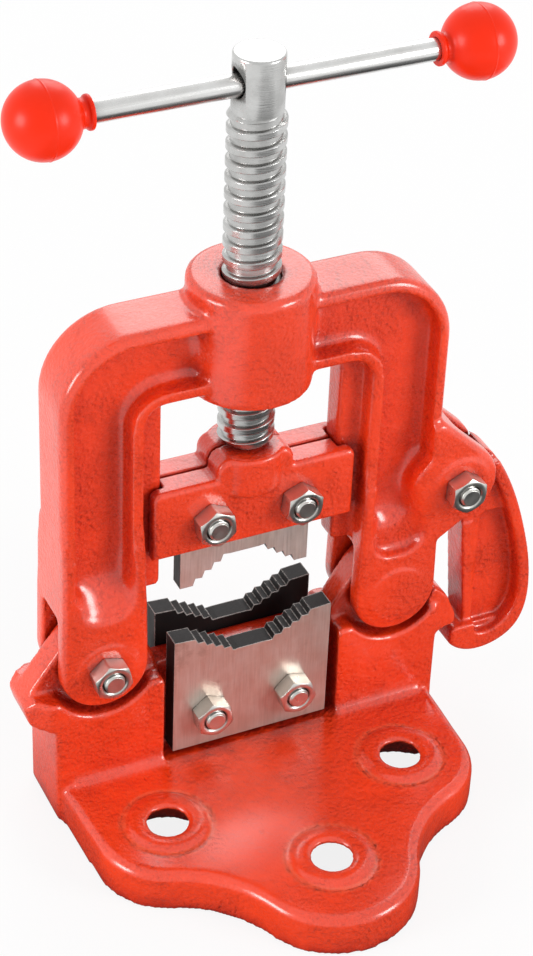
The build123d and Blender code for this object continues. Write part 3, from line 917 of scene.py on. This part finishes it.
@dataclass
class JawPlates:
    """Hardened plates that grip the pipe, each ground on its open sides."""

    finishes: dict[str, GroundPlate] = field(default_factory=lambda: {
        "upper_jaw_plate": GroundPlate(
            GroundSide.BOTH, ground=(0.86, 0.82, 0.76), warm=(0.78, 0.72, 0.64)
        ),
        "lower_jaw_plate_front": GroundPlate(GroundSide.FRONT),
        "lower_jaw_plate_rear": GroundPlate(GroundSide.REAR),
    })

    def build(self, effects: Effects) -> None:
        """Finish each plate.

        Args:
            effects: the shared node groups.
        """
        for name, finish in self.finishes.items():
            dress(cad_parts[name], finish.build(effects), Slot.PLATE, None)


@dataclass
class FeedScrew:
    """Screw with its thread, collar, neck and drilled head."""

    thread: ThreadForm = field(default_factory=lambda: ThreadForm(6.0, 10.0, 8.3))
    thread_start: float = 143.6
    thread_end: float = 271.0
    thread_chamfer: float = 1.4
    head_radius: float = 8.75
    head_top: float = 291.4
    head_chamfer: float = 1.1
    neck_radius: float = 4.75
    neck_bottom: float = 126.0
    collar_radius: float = 8.0
    collar_bottom: float = 119.6
    hole_radius: float = 5.2
    hole_height: float = 281.8
    columns: int = 80

    def surface(self) -> np.ndarray:
        """Lay the collar and neck, the thread and the head on one grid."""
        start_radius = self.head_radius - 0.3
        low = rounded_corners([
            (0.0, self.collar_bottom, 0), (self.collar_radius, self.collar_bottom, 0.8),
            (self.collar_radius, self.neck_bottom, 0.8), (self.neck_radius, self.neck_bottom, 0.6),
            (self.neck_radius, self.thread_start, 0.5), (start_radius, self.thread_start, 0),
        ])
        envelope = np.array([
            (self.thread_start, start_radius),
            (self.thread_start + self.thread_chamfer, self.thread.crest),
            (self.thread_end - self.thread_chamfer, self.thread.crest),
            (self.thread_end, self.head_radius),
        ])
        cut = threaded(self.thread, self.thread_start, self.thread_end, envelope, self.columns)
        high = rounded_corners([
            (self.head_radius, self.thread_end, 0),
            (self.head_radius, self.head_top, self.head_chamfer),
            (0.0, self.head_top, 0),
        ])
        return np.concatenate([turned(low, self.columns), cut, turned(high, self.columns)])

    def cutter(self) -> Piece:
        """Make the cross hole's cutter, with mouths that open a little."""
        reach, mouth = 12.0, self.head_radius - 2.1
        profile = np.array([
            (0.0, -reach), (self.hole_radius + 1.6, -reach), (self.hole_radius, -mouth),
            (self.hole_radius, mouth), (self.hole_radius + 1.6, reach), (0.0, reach),
        ])
        grid = place(Axis.X, (0.0, 0.0, self.hole_height), turned(profile, 48))
        return mesh_from_grid("cross_hole_cutter", grid)

    def build(self, steel: bpy.types.Material) -> None:
        """Make the screw and drill its head.

        Args:
            steel: the finish.
        """
        piece = mesh_from_grid("screw_cut", place(Axis.Z, (0.0, 0.0, 0.0), self.surface()))
        drill(piece, self.cutter())
        dress(piece, steel, Slot.STEEL, "screw", "screw")


@dataclass
class Handle:
    """Sliding bar with a moulded ball on each end."""

    rod_radius: float = 3.85
    rod_height: float = 280.6
    shift: float = 3.2
    ball_spacing: float = 152.0
    ball_radius: float = 12.8
    neck_radius: float = 4.9
    lip_radius: float = 5.8
    lip_reach: float = 15.7
    seam_height: float = 0.16
    seam_width: float = 0.28

    def ball_profile(self) -> np.ndarray:
        """Trace the ball from its far pole, over the mould seam, to the lip.

        The ball is a circle whose radius gains a narrow bell at the seam,
        seam_height * exp(-(h / seam_width)^2). A smooth hollow leads to the lip.

        Returns:
            Rows of (radius, height), with the height towards the screw.
        """
        join = math.asin(self.neck_radius / self.ball_radius) + 0.16
        angle = np.concatenate([
            np.linspace(math.pi, 0.5 * math.pi + 0.1, 30),
            np.linspace(0.5 * math.pi + 0.09, 0.5 * math.pi - 0.09, 27),
            np.linspace(0.5 * math.pi - 0.1, join, 22),
        ])
        height = self.ball_radius * np.cos(angle)
        seam = self.seam_height * np.exp(-((height / self.seam_width) ** 2))
        radius = (self.ball_radius + seam) * np.sin(angle)
        lip = self.lip_reach
        hollow = rounded_corners([
            (radius[-1], height[-1], 0), (self.neck_radius, height[-1] + 1.0, 1.2),
            (self.neck_radius, lip - 2.0, 0.9), (self.lip_radius, lip - 1.3, 0.5),
            (self.lip_radius, lip, 0.4), (self.rod_radius + 0.03, lip, 0.2),
            (self.rod_radius + 0.03, lip - 3.0, 0), (0.0, lip - 3.0, 0),
        ])
        return np.concatenate([np.stack([radius, height], axis=-1), hollow[1:]])

    def build(self, steel: bpy.types.Material, knob: bpy.types.Material) -> None:
        """Make the bar and both balls.

        Args:
            steel: finish of the bar.
            knob: finish of the balls.
        """
        half = self.ball_spacing / 2
        profile = rounded_corners([
            (0.0, -half, 0), (self.rod_radius, -half, 0.5),
            (self.rod_radius, half, 0.5), (0.0, half, 0),
        ])
        rod = mesh_from_grid(
            "handle_rod", place(Axis.X, (self.shift, 0.0, self.rod_height), turned(profile, 64))
        )
        dress(rod, steel, Slot.STEEL, "handle", "handle_bar")
        for side, axis, name in ((-1, Axis.X, "left"), (1, Axis.X_BACK, "right")):
            centre = (self.shift + side * half, 0.0, self.rod_height)
            grid = place(axis, centre, turned(self.ball_profile()))
            ball = mesh_from_grid(f"knob_{name}", grid)
            dress(ball, knob, Slot.KNOB, "handle", f"handle_ball_{name}")


@dataclass
class Fasteners:
    """Plated bolts and nuts, each placed on its node of the frame."""

    across_flats: float = 13.0
    shank_radius: float = 3.95
    bore_radius: float = 4.25
    nut_height: float = 6.5
    head_height: float = 5.3
    mouth_width: float = 0.75
    mouth_depth: float = 0.7
    mouth_break: float = 0.2
    land: float = 0.25
    tip_chamfer: float = 0.75
    tip_land: float = 1.6
    tip_dish: float = 0.12
    threaded_length: float = 12.0
    head_turn: float = 11.0
    thread: ThreadForm = field(
        default_factory=lambda: ThreadForm(1.25, 3.95, 3.35, 0.2, 0.2, 3)
    )
    columns: int = 96

    def hex_radius(self, angle: np.ndarray, turn: float) -> np.ndarray:
        """Distance to the flats: half of the width over cos of the angle from the nearest flat."""
        from_flat = (angle - math.radians(turn) + math.pi / 6) % (math.pi / 3) - math.pi / 6
        return self.across_flats / 2 / np.cos(from_flat)

    def hex_body(self, height: float, bore: float, turn: float) -> np.ndarray:
        """Hexagonal body with its two chamfer cones.

        Every row is a ring whose radius is the lesser of its own and the hexagon's.
        The cone falls by tan 30 for each step outwards from the inner circle.

        Args:
            height: height of the body.
            bore: radius of the bore, 0 for none.
            turn: turn of the hexagon, in degrees.

        Returns:
            Grid of local points, with the seat at 0 and the free face at height.
        """
        angle = np.linspace(0.0, FULL_TURN, self.columns + 1)
        edge = self.hex_radius(angle, turn)
        flat = np.zeros_like(angle)
        inner = self.across_flats / 2 * 0.95
        fall = (edge - inner) * math.tan(math.radians(30))
        rings = []
        if bore:
            mouth = bore + self.mouth_width
            rings += [(flat + bore, flat), (flat + bore, flat + height - self.mouth_depth)]
            rings += [(flat + mouth - self.mouth_break, flat + height - 0.4 * self.mouth_break)]
            rings += [(flat + mouth, flat + height)]
        else:
            rings += [(flat, flat + height)]
        rings += [(flat + inner - self.land, flat + height)]
        rings += [(flat + inner, flat + height - 0.2 * self.land)]
        for share in (0.3, 0.65, 1.0):
            rings += [(edge * share + inner * (1 - share), height - fall * share)]
        rings += [(edge, fall * 0.35)]
        rings += [(flat + inner, flat), (flat + (bore or 0.0), flat)]
        radius = np.stack([ring[0] for ring in rings])
        along = np.stack([ring[1] for ring in rings])
        return np.stack([radius * np.cos(angle), radius * np.sin(angle), along], axis=-1)

    def shank(self, length: float) -> np.ndarray:
        """Shank whose free end is threaded and chamfered, from the seat at 0."""
        start = length - min(self.threaded_length, length - 1.0)
        tip_radius = self.shank_radius - self.tip_chamfer
        low = np.array([(0.0, 0.0), (self.shank_radius, 0.0), (self.shank_radius, start)])
        envelope = np.array([
            (start, self.shank_radius), (length - self.tip_chamfer, self.shank_radius),
            (length, tip_radius),
        ])
        cut = threaded(self.thread, start, length, envelope, 48)
        tip = np.array([
            (tip_radius, length), (self.tip_land, length), (0.0, length - self.tip_dish)
        ])
        return np.concatenate([turned(low, 48), cut, turned(tip, 48)])

    def build(self, zinc: bpy.types.Material) -> None:
        """Make each bolt and its nut from the boxes of their nodes.

        Args:
            zinc: the finish.
        """
        places = (
            ("hinge_{}", 13.0, "base"), ("latch_{}", -4.0, "yoke"),
            ("lower_jaw_{}_left", 9.0, "base"), ("lower_jaw_{}_right", 17.0, "base"),
            ("upper_jaw_{}_left", 6.0, "jaw_block"), ("upper_jaw_{}_right", -7.0, "jaw_block"),
        )
        for pattern, turn, body in places:
            nut_node, bolt_node = pattern.format("nut"), pattern.format("bolt")
            low, high = (np.array(corner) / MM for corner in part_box(nut_node))
            x, z, nut_seat = (low[0] + high[0]) / 2, (low[2] + high[2]) / 2, high[1]
            low, high = (np.array(corner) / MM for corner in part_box(bolt_node))
            head_seat = high[1] - self.head_height
            nut = self.hex_body(self.nut_height, self.bore_radius, turn)
            shank = self.shank(head_seat - low[1])
            head = self.hex_body(self.head_height, 0.0, turn + self.head_turn)
            for node, part, axis, seat, grid in (
                (nut_node, "plated", Axis.Y_FRONT, nut_seat, nut),
                (bolt_node, "plated", Axis.Y_FRONT, head_seat, shank),
                (bolt_node, "head", Axis.Y_BACK, head_seat, head),
            ):
                piece = mesh_from_grid(f"{node}_{part}", place(axis, (x, seat, z), grid))
                dress(piece, zinc, Slot.ZINC, body, node)


@dataclass
class Studio:
    """Floor, lamps and camera, with lengths of the floor in metres.

    In mirrors the paper is dim near the vise, grey beyond and white behind and at
    the sides, as when dark screens stand round the lens.
    """

    target: Point = (8.93, 0.0, 122.86)
    azimuth: float = 26.27
    elevation: float = 36.06
    roll: float = 2.53
    distance: float = 907.2
    focal_pixels: float = 2566.09
    image_height: float = 956.0
    sensor: float = 36.0
    floor_half: float = 6.0
    room_level: float = 0.62
    dim_glow: float = 0.05
    grey_glow: float = 0.18
    room_glow: float = 0.85
    bright_glow: float = 1.0
    near: Pair = (0.20, 0.36)
    far: Pair = (0.40, 0.64)
    behind: Pair = (-0.02, 0.08)
    left: Pair = (-0.10, -0.22)
    right: Pair = (0.28, 0.42)
    front_to_back: Pair = (-0.2, 0.5)
    paper: Colour = (0.86, 0.86, 0.86)
    paper_shown_white: float = 0.86
    aim: Point = (0.0, 0.0, 0.13)
    lamps: tuple[tuple[str, Point, float, float], ...] = (
        ("lamp_left", (-1.72, -0.10, 0.65), 0.7, 17.0),
        ("lamp_back", (0.75, 1.50, 1.25), 1.3, 13.0),
        ("lamp_right", (1.30, -1.35, 0.75), 0.7, 19.0),
    )

    def camera(self) -> None:
        """Stand the camera where the picture was taken."""
        azimuth, elevation = math.radians(self.azimuth), math.radians(self.elevation)
        back = Vector((
            -math.sin(azimuth) * math.cos(elevation),
            -math.cos(azimuth) * math.cos(elevation),
            math.sin(elevation),
        ))
        right = Vector((0, 0, 1)).cross(back).normalized()
        up = back.cross(right)
        turn = math.radians(self.roll)
        side = right * math.cos(turn) + up * math.sin(turn)
        head = up * math.cos(turn) - right * math.sin(turn)
        data = bpy.data.cameras.new("camera")
        data.sensor_width = self.sensor
        data.lens = self.focal_pixels / self.image_height * self.sensor
        data.clip_start, data.clip_end = 0.01, 50.0
        camera = linked("camera", data)
        place_at = Vector(self.target) * MM + back * self.distance * MM
        turned_to = Matrix((side, head, back)).transposed().to_4x4()
        camera.matrix_world = Matrix.Translation(place_at) @ turned_to
        bpy.context.scene.camera = camera

    def floor(self) -> None:
        """Lay a pale floor that keeps a faint shadow."""
        half = self.floor_half
        mesh = bpy.data.meshes.new("floor")
        corners = [(-half, -half, 0.0), (half, -half, 0.0), (half, half, 0.0), (-half, half, 0.0)]
        mesh.from_pydata([(x, y, -0.0002) for x, y, _ in corners], [], [(0, 1, 2, 3)])
        floor = linked("floor", mesh)
        material = bpy.data.materials.new("floor_paper")
        material.use_nodes = True
        material.node_tree.nodes.clear()
        sheet = Sheet(material.node_tree)
        path = sheet.add("ShaderNodeLightPath")
        paper = sheet.add("ShaderNodeBsdfDiffuse", Color=self.paper)
        glow = sheet.add("ShaderNodeEmission", Color=WHITE, Strength=1.0)
        seen = sheet.maths("MULTIPLY", path.outputs["Is Camera Ray"], self.paper_shown_white)
        plain = sheet.add("ShaderNodeMixShader", Fac=seen)
        sheet.fill(plain.inputs[1], paper.outputs[0])
        sheet.fill(plain.inputs[2], glow.outputs[0])
        where = sheet.add("ShaderNodeTexCoord").outputs["Object"]
        spot = sheet.add("ShaderNodeSeparateXYZ", Vector=where)
        away = sheet.add("ShaderNodeVectorMath", set_operation="LENGTH")
        sheet.fill(away.inputs[0], where)
        reach = away.outputs["Value"]
        level = sheet.span(reach, *self.near, self.dim_glow, self.grey_glow)
        for brighter in (
            sheet.span(reach, *self.far, 0.0, self.room_glow),
            sheet.span(spot.outputs["Y"], *self.behind, 0.0, self.bright_glow),
            sheet.span(spot.outputs["X"], *self.left, 0.0, self.bright_glow),
            sheet.span(spot.outputs["X"], *self.right, 0.0, self.bright_glow),
        ):
            level = sheet.maths("MAXIMUM", level, brighter)
        mirrored = sheet.add("ShaderNodeEmission", Color=WHITE, Strength=level)
        mix = sheet.add("ShaderNodeMixShader", Fac=path.outputs["Is Glossy Ray"])
        sheet.fill(mix.inputs[1], plain.outputs[0])
        sheet.fill(mix.inputs[2], mirrored.outputs[0])
        sheet.add("ShaderNodeOutputMaterial", Surface=mix.outputs[0])
        mesh.materials.append(material)

    def light(self) -> None:
        """Hang the soft lamps and light the room."""
        for name, where, size, power in self.lamps:
            data = bpy.data.lights.new(name, "AREA")
            data.size, data.energy = size, power
            lamp = linked(name, data)
            lamp.location = where
            aim = Vector(self.aim) - Vector(where)
            lamp.rotation_euler = aim.to_track_quat("-Z", "Y").to_euler()
        world = bpy.data.worlds.new("room")
        world.use_nodes = True
        world.node_tree.nodes.clear()
        sheet = Sheet(world.node_tree)
        path = sheet.add("ShaderNodeLightPath")
        way = sheet.add("ShaderNodeTexCoord").outputs["Generated"]
        north = sheet.add("ShaderNodeSeparateXYZ", Vector=way).outputs["Y"]
        level = sheet.span(north, *self.front_to_back, self.room_glow, self.bright_glow)
        seen, glossy = path.outputs["Is Camera Ray"], path.outputs["Is Glossy Ray"]
        other = sheet.maths("SUBTRACT", 1.0, sheet.maths("ADD", glossy, seen), clamp=True)
        strength = sheet.maths("ADD", sheet.maths("MULTIPLY", glossy, level), seen)
        strength = sheet.maths("ADD", strength, sheet.maths("MULTIPLY", other, self.room_level))
        glow = sheet.add("ShaderNodeBackground", Color=WHITE, Strength=strength)
        sheet.add("ShaderNodeOutputWorld", Surface=glow.outputs[0])
        bpy.context.scene.world = world

    def build(self) -> None:
        """Set the whole stage."""
        self.floor()
        self.light()
        self.camera()
        bpy.context.scene.view_settings.view_transform = "Standard"


def main() -> None:
    """Build every sub-assembly, then the stage."""
    logging.basicConfig(level=logging.INFO, format="%(name)s %(message)s")
    effects = Effects()
    enamel = CastEnamel().build(effects)
    turned_steel = BrightSteel(
        "turned_steel", (0.15, 0.15, 3.0), bright=(0.62, 0.62, 0.61), dull=(0.28, 0.28, 0.27)
    ).build(effects)
    drawn_steel = BrightSteel(
        "drawn_steel", (0.05, 2.0, 2.0), smooth=0.2, rough=0.34
    ).build(effects)
    zinc = BrightSteel(
        "zinc_plated", (1.0, 1.0, 1.0), bright=(0.74, 0.73, 0.69), dull=(0.48, 0.47, 0.43),
        smooth=0.24, rough=0.42, relief=0.00005, marks_scale=420.0,
    ).build(effects)
    for casting in CASTINGS:
        casting.build(enamel)
    JawPlates().build(effects)
    FeedScrew().build(turned_steel)
    Handle().build(drawn_steel, GlossKnob().build(effects))
    Fasteners().build(zinc)
    Studio().build()


if __name__ == "__main__":
    main()
